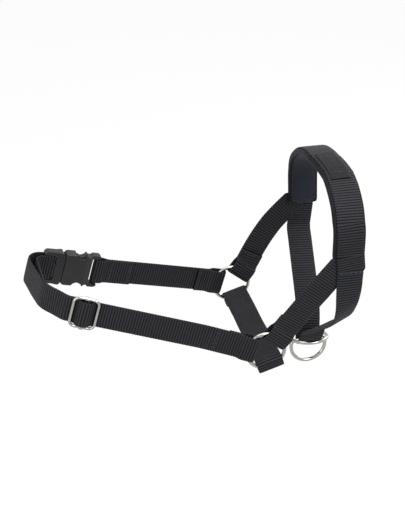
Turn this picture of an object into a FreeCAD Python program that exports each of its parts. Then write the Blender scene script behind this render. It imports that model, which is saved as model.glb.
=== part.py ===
"""Head halter: padded nose band, cheek straps, chin strap and an adjustable neck band.

Millimetres, +Z up, +X towards the nose, +Y the wearer's left.  The origin is the point where the
padded crest of the nose band rests on the bridge of the nose.
"""
import FreeCAD, Part
import os
from math import acos, asin, atan2, cos, degrees, hypot, radians, sin, sqrt, tan

V = FreeCAD.Vector
AXIS_X, AXIS_Y, AXIS_Z = V(1, 0, 0), V(0, 1, 0), V(0, 0, 1)

# ---- webbing -------------------------------------------------------------------------------
WEB_WIDTH = 20.0          # every strap is cut from one webbing
WEB_THICK = 1.4
PLY_GAP = 0.1             # between two sewn plies
SOFT_GAP = 0.3            # webbing to a wire that it is looped on
SEWN_LENGTH = 20.0        # doubled end that holds a ring
LOOP_SLACK = 0.6          # room for a strap that leaves its ring at a yaw
S_BEND_RADIUS = 6.0       # how gently two plies come together behind a wire

# ---- round rings ---------------------------------------------------------------------------
RING_WIRE = 2.8
FOLD_SPREAD = 0.345       # fold distance over webbing width; keeps neighbouring folds apart
FOLD_APOTHEM = FOLD_SPREAD * WEB_WIDTH  # ring centre to the outside of each strap's fold

# ---- nose band -----------------------------------------------------------------------------
NOSE_HALF_WIDTH = 59.0    # to the outside of the webbing
ARCH_RISE = 45.0          # spring line to the outside of the crest
ARCH_SIDE_ANGLE = 50.0    # bend of each side arc; the crown arc takes the rest
PAD_MARGIN = 2.25         # pad beyond each edge of the strap
PAD_WIDTH = WEB_WIDTH + 2 * PAD_MARGIN
FOAM_THICK = 4.0
LINING_THICK = 0.8
BINDING_THICK = 1.1
PAD_DROP = 60.7           # crest to the pad's lower ends
LABEL_MARGIN = 2.5
LABEL_WIDTH = WEB_WIDTH - 2 * LABEL_MARGIN
LABEL_THICK = 0.4
LABEL_START, LABEL_END = 64.5, 88.0    # degrees round the crown, 90 at the crest
LEAD_BAR_Y = -4.0         # where the band's lower fold hangs
LEAD_BAR_Z = -153.0
LEG_LOW_ANGLE = 20.0      # both legs, from the vertical, just above the fold
LEG_LOW_RUN = 9.0
LEG_RIGHT = {"angle": 47.0, "top_radius": 35.0, "low_radius": 30.0}
LEG_LEFT = {"angle": 47.0, "top_radius": 10.0, "low_radius": 60.0}

# ---- slide ring and lead ring --------------------------------------------------------------
SLIDE_RING_RISE = 2.4     # above the lead ring's bar
SLIDE_RING_TILT = 12.0
LEAD_WIRE = 3.0
LEAD_SIDE_GAP = 2.5       # fold's edge to the lead ring's side
LEAD_INNER_WIDTH = WEB_WIDTH + 2 * LEAD_SIDE_GAP
LEAD_DROP = 19.5          # bar centre to the bottom of the bow's centre line

# ---- cheek rings and the straps on them ----------------------------------------------------
CHEEK_X, CHEEK_Z = -53.8, -125.9
CHEEK_HALF_SPREAD = 52.0
CHEEK_PITCH = 51.0        # cheek strap's rise towards the nose
CHIN_PITCH = -73.0        # direction of the chin strap's loop, from +X
CHIN_SAG_ANGLE = 10.0
CHIN_SEWN_LENGTH = 16.0
NECK_PITCH = 15.5         # neck band's rise towards the back
BEND_RADIUS = 40.0        # where a strap turns out of its ring's plane

# ---- neck band -----------------------------------------------------------------------------
NECK_YAW_RIGHT = 10.0
NECK_YAW_LEFT = 5.0
NECK_REACH = 173.0        # ring axis to the outside of the back bend
SLIDER_FROM_BACK = 37.5
SLIDER_AT = NECK_REACH - SLIDER_FROM_BACK  # ring axis to the slider's centre
SLIDER_WIRE = 2.3
SLIDER_LENGTH = 20.5      # along the strap, outside
SLIDER_SIDE_GAP = 0.9     # strap's edge to the frame
SLIDER_HEIGHT = WEB_WIDTH + 2 * (SLIDER_SIDE_GAP + SLIDER_WIRE)
SLIDER_CORNER = 4.0
SLIDER_GAP = 0.15
WAVE_RADIUS = 4.0
WAVE_ANGLE = 45.0
NEAR_BEND_RADIUS = 30.0
WRAP_ANGLE = 255.0        # of the sewn loop round the slider's bar

# ---- side-release buckle -------------------------------------------------------------------
BUCKLE_FROM_BACK = 58.9
BUCKLE_AT = NECK_REACH - BUCKLE_FROM_BACK  # ring axis to the housing's bar end
BUCKLE_LENGTH = 45.6      # over both bars
SLOT_SIDE_GAP = 0.5       # strap's edge to a slot's end
SLOT_WIDTH = WEB_WIDTH + 2 * SLOT_SIDE_GAP
BUCKLE_RAIL = 3.0         # beside the slots
BUCKLE_WIDTH = SLOT_WIDTH + 2 * BUCKLE_RAIL
WAIST_BITE = 1.7
BUCKLE_THICK = 9.6
BUCKLE_END_THICK = 6.4
BUCKLE_CORNER = 3.0
RIM_ROUND = 1.2
BAR_LENGTH = 3.6          # webbing bar, along the strap
BAR_THICK = 4.0
BAR_EDGE = 1.5
SLOT_LENGTH = 3.8
PLUG_BAR_LENGTH = 6.6     # the plug's bar is broader
PLUG_SLOT_LENGTH = 2.9
MOUTH_AT = 29.5           # housing bar end to its mouth
SIDE_WALL = 2.3           # beside the cavity
CAVITY_WIDTH = BUCKLE_WIDTH - 2 * SIDE_WALL
CAVITY_HEIGHT = 5.4
WINDOW_START, WINDOW_END = 11.9, 20.9   # from the housing's bar end
WINDOW_BITE = 3.4         # depth of the finger scallop
CAVITY_END = 9.0
SLIDING_FIT = 0.3
ARM_WIDTH = 2.0
ARM_PIVOT_IN = 1.0        # mouth to the arms' roots
ARM_PIVOT_X = MOUTH_AT - ARM_PIVOT_IN
ARM_PIVOT_INSET = 2.6     # cavity's side to the arms' roots
ARM_PIVOT_Z = CAVITY_WIDTH / 2 - ARM_PIVOT_INSET
BASE_DEPTH = 1.8
BASE_START = MOUTH_AT - BASE_DEPTH
ARM_PIVOT_RADIUS = 1.5
ARM_PIVOT_FIT = 0.06
HOOK_DEPTH = 2.2
TONGUE_WIDTH = 4.6


# Inside radius at which the wire clears a fold's corners.
RING_INNER = hypot(FOLD_APOTHEM + WEB_THICK + SOFT_GAP, WEB_WIDTH / 2)
RING_RADIUS = RING_INNER + RING_WIRE / 2


class Track:
    """A strap's centre line in a plane, drawn with straight runs and tangent arcs."""

    def __init__(self, x, y, heading):
        self.x, self.y, self.heading = x, y, heading
        self.runs = []

    def go(self, length):
        a = radians(self.heading)
        start = (self.x, self.y)
        self.x += length * cos(a)
        self.y += length * sin(a)
        self.runs.append(("line", start, (self.x, self.y), self.heading))
        return self

    def turn(self, radius, angle):
        """Turn left by a positive angle, right by a negative one."""
        side = 1 if angle > 0 else -1
        first = self.heading - side * 90
        cx = self.x - radius * cos(radians(first))
        cy = self.y - radius * sin(radians(first))
        last = first + angle
        self.x = cx + radius * cos(radians(last))
        self.y = cy + radius * sin(radians(last))
        self.heading += angle
        self.runs.append(("arc", (cx, cy), radius, first, last, side))
        return self

    def shift(self, offset, radius=S_BEND_RADIUS):
        """An S-bend that ends parallel to its start, moved sideways by the offset (left positive)."""
        angle = degrees(acos(1 - abs(offset) / (2 * radius)))
        side = 1 if offset > 0 else -1
        return self.turn(radius, side * angle).turn(radius, -side * angle)

    def edges(self, offset):
        """The runs moved sideways by an offset (left positive), as point triples and pairs."""
        result = []
        for run in self.runs:
            if run[0] == "line":
                _, p, q, heading = run
                nx, ny = -sin(radians(heading)) * offset, cos(radians(heading)) * offset
                result.append([(p[0] + nx, p[1] + ny), (q[0] + nx, q[1] + ny)])
            else:
                _, centre, radius, first, last, side = run
                r = radius - side * offset
                result.append([(centre[0] + r * cos(radians(a)), centre[1] + r * sin(radians(a)))
                               for a in (first, (first + last) / 2, last)])
        return result


class Plane:
    """Places plane coordinates in space; straps are extruded square to it."""

    def __init__(self, origin, ex, ey):
        self.origin, self.ex, self.ey = origin, ex, ey
        self.normal = ex.cross(ey)

    def at(self, x, y, off=0.0):
        return self.origin + self.ex * x + self.ey * y + self.normal * off


def edge(points):
    if len(points) == 2:
        return Part.LineSegment(*points).toShape()
    return Part.Arc(*points).toShape()


def strap(track, plane, width=WEB_WIDTH, thick=WEB_THICK):
    """The solid strap along a track, its width square to the plane."""
    left = [[plane.at(*p, -width / 2) for p in run] for run in track.edges(thick / 2)]
    right = [[plane.at(*p, -width / 2) for p in run] for run in track.edges(-thick / 2)]
    outline = [edge(run) for run in left]
    outline.append(edge([left[-1][-1], right[-1][-1]]))
    outline += [edge(run[::-1]) for run in right[::-1]]
    outline.append(edge([right[0][0], left[0][0]]))
    return Part.Face(Part.Wire(outline)).extrude(plane.normal * width)


def box_between(low, high):
    return Part.makeBox(high[0] - low[0], high[1] - low[1], high[2] - low[2], V(*low))


# ---- nose band -----------------------------------------------------------------------------
NOSE_PLANE = Plane(V(0, 0, 0), AXIS_Y, AXIS_Z)
PAD_STACK = LINING_THICK + FOAM_THICK + WEB_THICK
ARCH_Z = PAD_STACK - ARCH_RISE
ARCH_SPREAD = (NOSE_HALF_WIDTH - ARCH_RISE) / (
    cos(radians(ARCH_SIDE_ANGLE)) + sin(radians(ARCH_SIDE_ANGLE)) - 1)
ARCH_SIDE_RADIUS = NOSE_HALF_WIDTH - ARCH_SPREAD * cos(radians(ARCH_SIDE_ANGLE))
ARCH_CROWN_RADIUS = ARCH_SIDE_RADIUS + ARCH_SPREAD
NOSE_CENTRE = NOSE_HALF_WIDTH - WEB_THICK / 2
LEAD_FOLD_RADIUS = LEAD_WIRE / 2 + SOFT_GAP + WEB_THICK / 2


def leg_points(side, leg):
    """Lengths of one lower leg: (middle run, height where the leg leaves the vertical)."""
    low, high = radians(LEG_LOW_ANGLE), radians(leg["angle"])
    foot_y = side * LEAD_BAR_Y + LEAD_FOLD_RADIUS * cos(low)
    foot_z = LEAD_BAR_Z - LEAD_FOLD_RADIUS * sin(low)
    reach = NOSE_CENTRE - leg["top_radius"] * (1 - cos(high)) - foot_y
    reach -= LEG_LOW_RUN * sin(low) + leg["low_radius"] * (cos(low) - cos(high))
    middle = reach / sin(high)
    rise = LEG_LOW_RUN * cos(low) + leg["low_radius"] * (sin(high) - sin(low))
    rise += middle * cos(high) + leg["top_radius"] * sin(high)
    return middle, foot_z + rise


def arch_over(track, inset, side):
    """Three tangent arcs over the nose, inside the webbing's outer face by the inset."""
    crown = 180 - 2 * ARCH_SIDE_ANGLE
    track.turn(ARCH_SIDE_RADIUS - inset, side * ARCH_SIDE_ANGLE)
    track.turn(ARCH_CROWN_RADIUS - inset, side * crown)
    return track.turn(ARCH_SIDE_RADIUS - inset, side * ARCH_SIDE_ANGLE)


def nose_track():
    """Once round the nose: down the left leg, round the lead ring's bar and up the right leg."""
    mid_left, top_left = leg_points(1, LEG_LEFT)
    mid_right, top_right = leg_points(-1, LEG_RIGHT)
    bend_left = LEG_LEFT["angle"] - LEG_LOW_ANGLE
    bend_right = LEG_RIGHT["angle"] - LEG_LOW_ANGLE
    track = Track(NOSE_CENTRE, top_left, -90)
    track.turn(LEG_LEFT["top_radius"], -LEG_LEFT["angle"]).go(mid_left)
    track.turn(LEG_LEFT["low_radius"], bend_left).go(LEG_LOW_RUN)
    track.turn(LEAD_FOLD_RADIUS, -(180 - 2 * LEG_LOW_ANGLE)).go(LEG_LOW_RUN)
    track.turn(LEG_RIGHT["low_radius"], bend_right).go(mid_right)
    track.turn(LEG_RIGHT["top_radius"], -LEG_RIGHT["angle"]).go(ARCH_Z - top_right)
    return arch_over(track, WEB_THICK / 2, -1).go(ARCH_Z - top_left)


def closed_band(track, plane, width, thick):
    """A strap whose track ends where it starts."""
    faces = []
    for offset in (thick / 2, -thick / 2):
        run = [edge([plane.at(*p, -width / 2) for p in points]) for points in track.edges(offset)]
        faces.append(Part.Face(Part.Wire(run)))
    outer, inner = sorted(faces, key=lambda face: -face.Area)
    return outer.cut(inner).Faces[0].extrude(plane.normal * width)


def arch(outer, thick, width, drop):
    """An inverted U of the nose band's arch; drop is the depth of its lower ends."""
    track = Track(outer - thick / 2, -drop, 90).go(ARCH_Z + drop)
    arch_over(track, NOSE_HALF_WIDTH - outer + thick / 2, 1).go(ARCH_Z + drop)
    return strap(track, NOSE_PLANE, width, thick)


def pad_parts():
    foam_outer = NOSE_HALF_WIDTH - WEB_THICK
    lining_outer = foam_outer - FOAM_THICK
    body_width = PAD_WIDTH - 2 * BINDING_THICK
    body_drop = PAD_DROP - BINDING_THICK
    foam = arch(foam_outer, FOAM_THICK, body_width, body_drop)
    lining = arch(lining_outer, LINING_THICK, body_width, body_drop)
    whole = arch(foam_outer, FOAM_THICK + LINING_THICK, PAD_WIDTH, PAD_DROP)
    core = arch(foam_outer + 1, FOAM_THICK + LINING_THICK + 2, body_width, body_drop)
    return foam, lining, whole.cut(core)


def label():
    radius = ARCH_CROWN_RADIUS + PLY_GAP + LABEL_THICK / 2
    start = radians(LABEL_START)
    crown_z = PAD_STACK - ARCH_CROWN_RADIUS
    track = Track(-radius * cos(start), crown_z + radius * sin(start), 90 - LABEL_START)
    track.turn(radius, LABEL_START - LABEL_END)
    return strap(track, NOSE_PLANE, LABEL_WIDTH, LABEL_THICK)


# ---- rings ---------------------------------------------------------------------------------
def round_ring(centre, axis):
    return Part.makeTorus(RING_RADIUS, RING_WIRE / 2, centre, axis)


def slide_ring():
    tilt = radians(SLIDE_RING_TILT)
    centre = V(0, LEAD_BAR_Y, LEAD_BAR_Z + SLIDE_RING_RISE)
    return round_ring(centre, V(0, sin(tilt), cos(tilt)))


def lead_ring():
    """A D ring: a straight bar in the fold and a bow below it."""
    half = (LEAD_INNER_WIDTH + LEAD_WIRE) / 2
    corner = LEAD_WIRE
    side = LEAD_DROP - half
    bar = V(0, LEAD_BAR_Y, LEAD_BAR_Z)

    def p(x, z):
        return bar + V(x, 0, z)

    def quarter(x, z, first):
        return [p(x + corner * cos(radians(first + a)), z + corner * sin(radians(first + a)))
                for a in (0, 45, 90)]

    path = [
        edge([p(-half + corner, 0), p(half - corner, 0)]),
        edge(quarter(half - corner, -corner, 0)[::-1]),
        edge([p(half, -corner), p(half, -side)]),
        edge([p(half, -side), p(0, -LEAD_DROP), p(-half, -side)]),
        edge([p(-half, -side), p(-half, -corner)]),
        edge(quarter(-half + corner, -corner, 90)[::-1]),
    ]
    profile = Part.Wire(Part.makeCircle(LEAD_WIRE / 2, p(-half + corner, 0), AXIS_X))
    return Part.Wire(path).makePipeShell([profile], True, True)


# ---- straps looped on the cheek rings ------------------------------------------------------
LOOP_RADIUS = RING_WIRE / 2 + SOFT_GAP + LOOP_SLACK + WEB_THICK / 2
LOOP_CENTRE = FOLD_APOTHEM + WEB_THICK / 2 + LOOP_RADIUS
LOOP_CLEAR = RING_RADIUS + RING_WIRE / 2 + SOFT_GAP
LOOP_MIDDLE = (FOLD_APOTHEM + WEB_THICK + LOOP_CLEAR) / 2
PLY_STEP = (WEB_THICK + PLY_GAP) / 2


def bend_run(offset, radius=S_BEND_RADIUS):
    """Length of an S-bend along its start direction."""
    return 2 * radius * sin(acos(1 - abs(offset) / (2 * radius)))


def ring_loop(side, yaw, sewn=SEWN_LENGTH):
    """A track from a sewn end to the ring, round its wire and back out beside the short end.

    The ring's centre is the plane's origin.  The strap leaves at a yaw from +x, and crosses the
    ring's plane in the middle of its wire.  side is +1 when the short end lies at +y.
    """
    shift = LOOP_RADIUS - PLY_STEP
    length = LOOP_CLEAR + bend_run(shift) + sewn - LOOP_MIDDLE
    a = radians(yaw)
    x = LOOP_MIDDLE + length * cos(a) - side * PLY_STEP * sin(a)
    y = length * sin(a) + side * PLY_STEP * cos(a)
    track = Track(x, y, 180 + yaw).go(sewn).shift(-side * shift).go(LOOP_CLEAR - LOOP_CENTRE)
    track.turn(LOOP_RADIUS, side * 180).go(LOOP_CLEAR - LOOP_CENTRE).shift(side * shift)
    track.heading = yaw
    return track


def cheek_strap(side):
    """From the ring up to the nose band's inside; its end is trimmed to the band and the pad."""
    rise = radians(CHEEK_PITCH)
    along = V(cos(rise), 0, sin(rise))
    plane = Plane(V(CHEEK_X, side * CHEEK_HALF_SPREAD, CHEEK_Z), along, AXIS_Y * side)
    seat = NOSE_HALF_WIDTH - WEB_THICK - PLY_GAP - WEB_THICK / 2 - CHEEK_HALF_SPREAD
    reach = (-CHEEK_X - WEB_WIDTH / 2) / cos(rise)
    yaw = degrees(atan2(seat, reach - LOOP_MIDDLE))
    track = ring_loop(-1, yaw).go(SEWN_LENGTH)
    bend = BEND_RADIUS * tan(radians(yaw) / 2)
    straight = (seat - track.y) / sin(radians(yaw)) - bend
    track.go(straight).turn(BEND_RADIUS, -yaw).go(3 * WEB_WIDTH)
    solid = strap(track, plane)
    far = 4 * NOSE_HALF_WIDTH
    leg = leg_points(side, LEG_LEFT if side > 0 else LEG_RIGHT)[1]
    back = -WEB_WIDTH / 2 - SOFT_GAP
    outside = box_between((-far, -far, -far), (back, far, 0))
    seat_box = box_between((back, -far, leg), (WEB_WIDTH / 2 - PLY_STEP, far, -PAD_DROP - PLY_GAP))
    below_pad = box_between((-PAD_WIDTH / 2 - SOFT_GAP, -far, -PAD_DROP - PLY_GAP), (far, far, far))
    return solid.common(outside.fuse(seat_box)).cut(below_pad)


def chin_strap():
    """Across under the chin, looped on the lowest part of both cheek rings."""
    drop = radians(CHIN_PITCH)
    down = V(cos(drop), 0, sin(drop))
    plane = Plane(V(CHEEK_X, 0, CHEEK_Z), AXIS_Y, down)
    upper = FOLD_APOTHEM + WEB_THICK / 2
    lower = LOOP_CLEAR + WEB_THICK / 2
    corner = LOOP_RADIUS
    wall = lower - upper - 2 * corner
    clear = RING_WIRE / 2 + SOFT_GAP + WEB_THICK / 2
    join = lower - upper - WEB_THICK - PLY_GAP
    join_run = bend_run(join)
    sag = CHIN_SAG_ANGLE
    ring_y = CHEEK_HALF_SPREAD
    loop_end = ring_y - clear - 1
    sewn_end = loop_end - join_run - CHIN_SEWN_LENGTH
    track = Track(-sewn_end, upper + WEB_THICK + PLY_GAP, 180)
    track.go(CHIN_SEWN_LENGTH).shift(-join).go(ring_y - loop_end + clear - corner)
    track.turn(corner, 90).go(wall).turn(corner, 90).go(ring_y + clear - corner - sewn_end)
    span_radius = sewn_end / sin(radians(sag)) / 2
    track.turn(span_radius, sag).turn(span_radius, -2 * sag).turn(span_radius, sag)
    track.go(ring_y + clear - corner - sewn_end).turn(corner, 90).go(wall).turn(corner, 90)
    track.go(ring_y - loop_end + clear - corner).shift(join).go(CHIN_SEWN_LENGTH)
    return strap(track, plane)


# ---- neck band -----------------------------------------------------------------------------
NECK_RISE = radians(NECK_PITCH)
NECK_ALONG = V(-cos(NECK_RISE), 0, sin(NECK_RISE))
SLIDER_LIFT = WEB_THICK / 2 + SLIDER_GAP + SLIDER_WIRE / 2
WRAP_RADIUS = SLIDER_WIRE / 2 + SLIDER_GAP + WEB_THICK / 2
WAVE_HEIGHT = SLIDER_LIFT + WRAP_RADIUS + WEB_THICK + SLIDER_GAP
BAR_LOOP_RADIUS = BAR_THICK / 2 + SOFT_GAP + WEB_THICK / 2
BAR_LOOP_SET = BAR_LENGTH / 2


def neck_plane(side):
    return Plane(V(CHEEK_X, side * CHEEK_HALF_SPREAD, CHEEK_Z), NECK_ALONG, AXIS_Y)


def neck_strap_left():
    """Ring loop, straight run and the loop on the buckle housing's bar."""
    track = ring_loop(-1, -NECK_YAW_LEFT)
    start = LOOP_CLEAR + bend_run(LOOP_RADIUS - PLY_STEP) - LOOP_MIDDLE
    shift = BAR_LOOP_RADIUS - PLY_STEP
    bar = (BUCKLE_AT - LOOP_MIDDLE) / cos(radians(NECK_YAW_LEFT))
    track.go(bar - SOFT_GAP - bend_run(shift) - start).shift(shift).go(SOFT_GAP + BAR_LOOP_SET)
    track.turn(BAR_LOOP_RADIUS, -180).go(SOFT_GAP + BAR_LOOP_SET).shift(-shift).go(SEWN_LENGTH)
    return strap(track, neck_plane(1))


def slider_centre():
    """On the strap's own line, in the right neck plane."""
    yaw = radians(NECK_YAW_RIGHT)
    return (SLIDER_AT + PLY_STEP * sin(yaw),
            (SLIDER_AT - LOOP_MIDDLE) * tan(yaw) - PLY_STEP * cos(yaw))


def buckle_axis(distance):
    """A point on the buckle's axis, from the housing's bar end towards the back, in the same plane."""
    yaw = radians(NECK_YAW_LEFT)
    u = BUCKLE_AT + distance * cos(yaw)
    return u, 2 * CHEEK_HALF_SPREAD - (u - LOOP_MIDDLE) * tan(yaw)


def tangent_run(a, ra, b, rb):
    """Heading and length of the straight from circle a to circle b, both rounded to the left."""
    dx, dy = b[0] - a[0], b[1] - a[1]
    distance = hypot(dx, dy)
    heading = atan2(dy, dx) - asin((rb - ra) / distance)
    return degrees(heading), sqrt(distance ** 2 - (rb - ra) ** 2)


def neck_strap_right():
    """Ring loop, over the slider, round the back, round the plug's bar and back to the slider."""
    yaw, far_yaw = radians(NECK_YAW_RIGHT), radians(NECK_YAW_LEFT)
    out = 180 - NECK_YAW_LEFT
    slope = radians(WAVE_ANGLE)
    climb = (WAVE_HEIGHT - 2 * WAVE_RADIUS * (1 - cos(slope))) / sin(slope)
    wave_run = 2 * WAVE_RADIUS * sin(slope) + climb * cos(slope)
    bar_space = (SLIDER_LENGTH - SLIDER_WIRE) / 2
    crest = 2 * max(bar_space - wave_run, 0)
    centre = slider_centre()

    track = ring_loop(1, NECK_YAW_RIGHT)
    run = (centre[0] - track.x) / cos(yaw) - wave_run - crest / 2
    track.go(run).turn(WAVE_RADIUS, -WAVE_ANGLE).go(climb).turn(WAVE_RADIUS, WAVE_ANGLE).go(crest)
    track.turn(WAVE_RADIUS, WAVE_ANGLE).go(climb).turn(WAVE_RADIUS, -WAVE_ANGLE).go(SLIDER_WIRE)

    near = (track.x - NEAR_BEND_RADIUS * sin(yaw), track.y + NEAR_BEND_RADIUS * cos(yaw))
    end = buckle_axis(BUCKLE_LENGTH + SOFT_GAP)
    radius = (NECK_REACH - WEB_THICK / 2 - end[0] - BAR_LOOP_RADIUS * sin(far_yaw))
    radius /= 1 - sin(far_yaw)
    inward = radius - BAR_LOOP_RADIUS
    far = (end[0] - inward * sin(far_yaw), end[1] - inward * cos(far_yaw))
    step = 2 * PLY_STEP
    outer, outer_run = tangent_run(near, NEAR_BEND_RADIUS, far, radius)
    inner_far = radius - 2 * BAR_LOOP_RADIUS
    inner, inner_run = tangent_run(near, NEAR_BEND_RADIUS - step, far, inner_far)

    track.turn(NEAR_BEND_RADIUS, outer - NECK_YAW_RIGHT).go(outer_run).turn(radius, out - outer)
    wrap_run = SOFT_GAP + PLUG_BAR_LENGTH - BAR_LENGTH / 2
    track.go(wrap_run).turn(BAR_LOOP_RADIUS, 180).go(wrap_run)
    track.turn(inner_far, inner - out).go(inner_run)
    track.turn(NEAR_BEND_RADIUS - step, NECK_YAW_RIGHT - inner)
    back_run = SLIDER_WIRE + wave_run + crest / 2 - bend_run(step, WAVE_RADIUS)
    track.go(back_run).shift(step, WAVE_RADIUS).turn(WRAP_RADIUS, WRAP_ANGLE)
    return strap(track, neck_plane(-1))


def slider_space():
    """The slider's own axes: along the strap, across it and out of it, and its centre."""
    yaw = radians(NECK_YAW_RIGHT)
    plane = neck_plane(-1)
    along = NECK_ALONG * cos(yaw) + AXIS_Y * sin(yaw)
    out = NECK_ALONG * sin(yaw) - AXIS_Y * cos(yaw)
    return along, along.cross(out), out, plane.at(*slider_centre()) + out * SLIDER_LIFT


def slider_frame():
    along, across, _, centre = slider_space()
    half_x = (SLIDER_LENGTH - SLIDER_WIRE) / 2
    half_y = (SLIDER_HEIGHT - SLIDER_WIRE) / 2
    track = Track(0, -half_y, 0).go(half_x - SLIDER_CORNER)
    for side in (half_y, half_x, half_y):
        track.turn(SLIDER_CORNER, 90).go(2 * (side - SLIDER_CORNER))
    track.turn(SLIDER_CORNER, 90).go(half_x - SLIDER_CORNER)
    plane = Plane(centre, along, across)
    path = Part.Wire([edge([plane.at(*p) for p in run]) for run in track.edges(0)])
    profile = Part.Wire(Part.makeCircle(SLIDER_WIRE / 2, plane.at(0, -half_y), along))
    return path.makePipeShell([profile], True, True)


def slider_bar(frame):
    _, across, _, centre = slider_space()
    length = SLIDER_HEIGHT - SLIDER_WIRE
    bar = Part.makeCylinder(SLIDER_WIRE / 2, length, centre - across * length / 2, across)
    return bar.cut(frame)


# ---- buckle --------------------------------------------------------------------------------
# Its own frame: x from the housing's bar end to the plug's, y out of the strap, z across it.
def buckle_placement():
    yaw = radians(NECK_YAW_LEFT)
    along = NECK_ALONG * cos(yaw) - AXIS_Y * sin(yaw)
    out = NECK_ALONG * sin(yaw) + AXIS_Y * cos(yaw)
    across = along.cross(out)
    origin = neck_plane(-1).at(*buckle_axis(0))
    return FreeCAD.Matrix(along.x, out.x, across.x, origin.x,
                          along.y, out.y, across.y, origin.y,
                          along.z, out.z, across.z, origin.z, 0, 0, 0, 1)


def moved(shape):
    result = shape.copy()
    result.Placement = FreeCAD.Placement(buckle_placement())
    return result


def plan(points, thick):
    """A plan outline (x, z) extruded through the buckle's thickness."""
    wire = Part.makePolygon([V(x, -thick / 2, z) for x, z in points + points[:1]])
    return Part.Face(wire).extrude(AXIS_Y * thick)


def slab(x0, x1, half_z, thick, corner=0.0):
    body = box_between((x0, -thick / 2, -half_z), (x1, thick / 2, half_z))
    if corner:
        upright = [e for e in body.Edges if abs(e.tangentAt(e.FirstParameter).y) > 0.9]
        body = body.makeFillet(corner, upright)
    return body


def rounded_bar(x0, x1, half_z, thick):
    """The webbing bar, rounded where the strap bears on it."""
    bar = slab(x0, x1, half_z, thick)
    along = [e for e in bar.Edges if abs(e.tangentAt(e.FirstParameter).z) > 0.9]
    return bar.makeFillet(BAR_EDGE, along)


def side_taper(x0, x1, thin, thick):
    """Side view of a body that thickens from x0 to x1, as a solid across the whole width."""
    far = 2 * BUCKLE_LENGTH
    ahead = far if x1 > x0 else -far
    points = [(x0 - ahead, thin / 2), (x0, thin / 2), (x1, thick / 2), (x1 + ahead, thick / 2)]
    points += [(x, -y) for x, y in points[::-1]]
    wire = Part.makePolygon([V(x, y, -BUCKLE_WIDTH) for x, y in points + points[:1]])
    return Part.Face(wire).extrude(AXIS_Z * 2 * BUCKLE_WIDTH)


def buckle_housing():
    half = BUCKLE_WIDTH / 2
    slot_end = BAR_LENGTH + SLOT_LENGTH
    body = slab(0, MOUTH_AT, half, BUCKLE_THICK, BUCKLE_CORNER)
    reach = (WINDOW_START - slot_end) / 2
    waist_radius = (reach ** 2 + WAIST_BITE ** 2) / (2 * WAIST_BITE)
    window_x = (WINDOW_START + WINDOW_END) / 2
    window_half = (WINDOW_END - WINDOW_START) / 2
    window_radius = (window_half ** 2 + WINDOW_BITE ** 2) / (2 * WINDOW_BITE)
    body = body.common(side_taper(slot_end, WINDOW_START, BUCKLE_END_THICK, BUCKLE_THICK))
    rims = [e for e in body.Edges if e.BoundBox.XMin > slot_end and e.BoundBox.XMax < MOUTH_AT - 0.1
            or e.BoundBox.XMin > WINDOW_START - 1 and e.BoundBox.XLength > 5]
    body = body.makeFillet(RIM_ROUND, [e for e in rims if e.BoundBox.XLength > 1])
    for side in (1, -1):
        for x, radius, depth in ((slot_end + reach, waist_radius, WAIST_BITE),
                                 (window_x, window_radius, WINDOW_BITE)):
            centre = V(x, -BUCKLE_THICK, side * (half - depth + radius))
            body = body.cut(Part.makeCylinder(radius, 2 * BUCKLE_THICK, centre, AXIS_Y))
    cavity = slab(CAVITY_END, MOUTH_AT + 1, CAVITY_WIDTH / 2, CAVITY_HEIGHT, 0)
    windows = slab(WINDOW_START + 1, WINDOW_END - 1, BUCKLE_WIDTH, CAVITY_HEIGHT, 0)
    slot = slab(0, slot_end, SLOT_WIDTH / 2, 2 * BUCKLE_THICK, 0)
    body = body.cut(cavity).cut(windows).cut(slot)
    rail_cut = slab(-1, BAR_LENGTH, SLOT_WIDTH / 2 + 1, 2 * BUCKLE_THICK, 0)
    bar = rounded_bar(0, BAR_LENGTH, SLOT_WIDTH / 2 + 1, BAR_THICK)
    return body.cut(rail_cut).fuse(bar).removeSplitter()


def arm_pivot(side):
    return ARM_PIVOT_X, side * ARM_PIVOT_Z


def latch_arm(side):
    """A springy arm with a hooked head that fills the housing's window."""
    px, pz = ARM_PIVOT_X, ARM_PIVOT_Z
    shoulder = WINDOW_END - 1 - SLIDING_FIT
    nose = WINDOW_START + 1 + SLIDING_FIT
    outer = BUCKLE_WIDTH / 2 - SLIDING_FIT
    inner = pz - ARM_WIDTH / 2
    head_x = shoulder + 2
    points = [(px, inner), (head_x, inner), (nose, inner + 0.8), (nose - 2, inner + 1.8),
              (nose - 1.6, inner + 2.6), (nose + 1, outer - 1), (nose + 3, outer),
              (shoulder, outer), (shoulder, outer - HOOK_DEPTH), (head_x, pz + ARM_WIDTH / 2),
              (px, pz + ARM_WIDTH / 2)]
    thick = CAVITY_HEIGHT - 2 * SLIDING_FIT
    arm = plan([(x, side * z) for x, z in points], thick)
    root = Part.makeCylinder(ARM_PIVOT_RADIUS, thick, V(px, -thick / 2, side * pz), AXIS_Y)
    return arm.fuse(root).removeSplitter()


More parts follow.
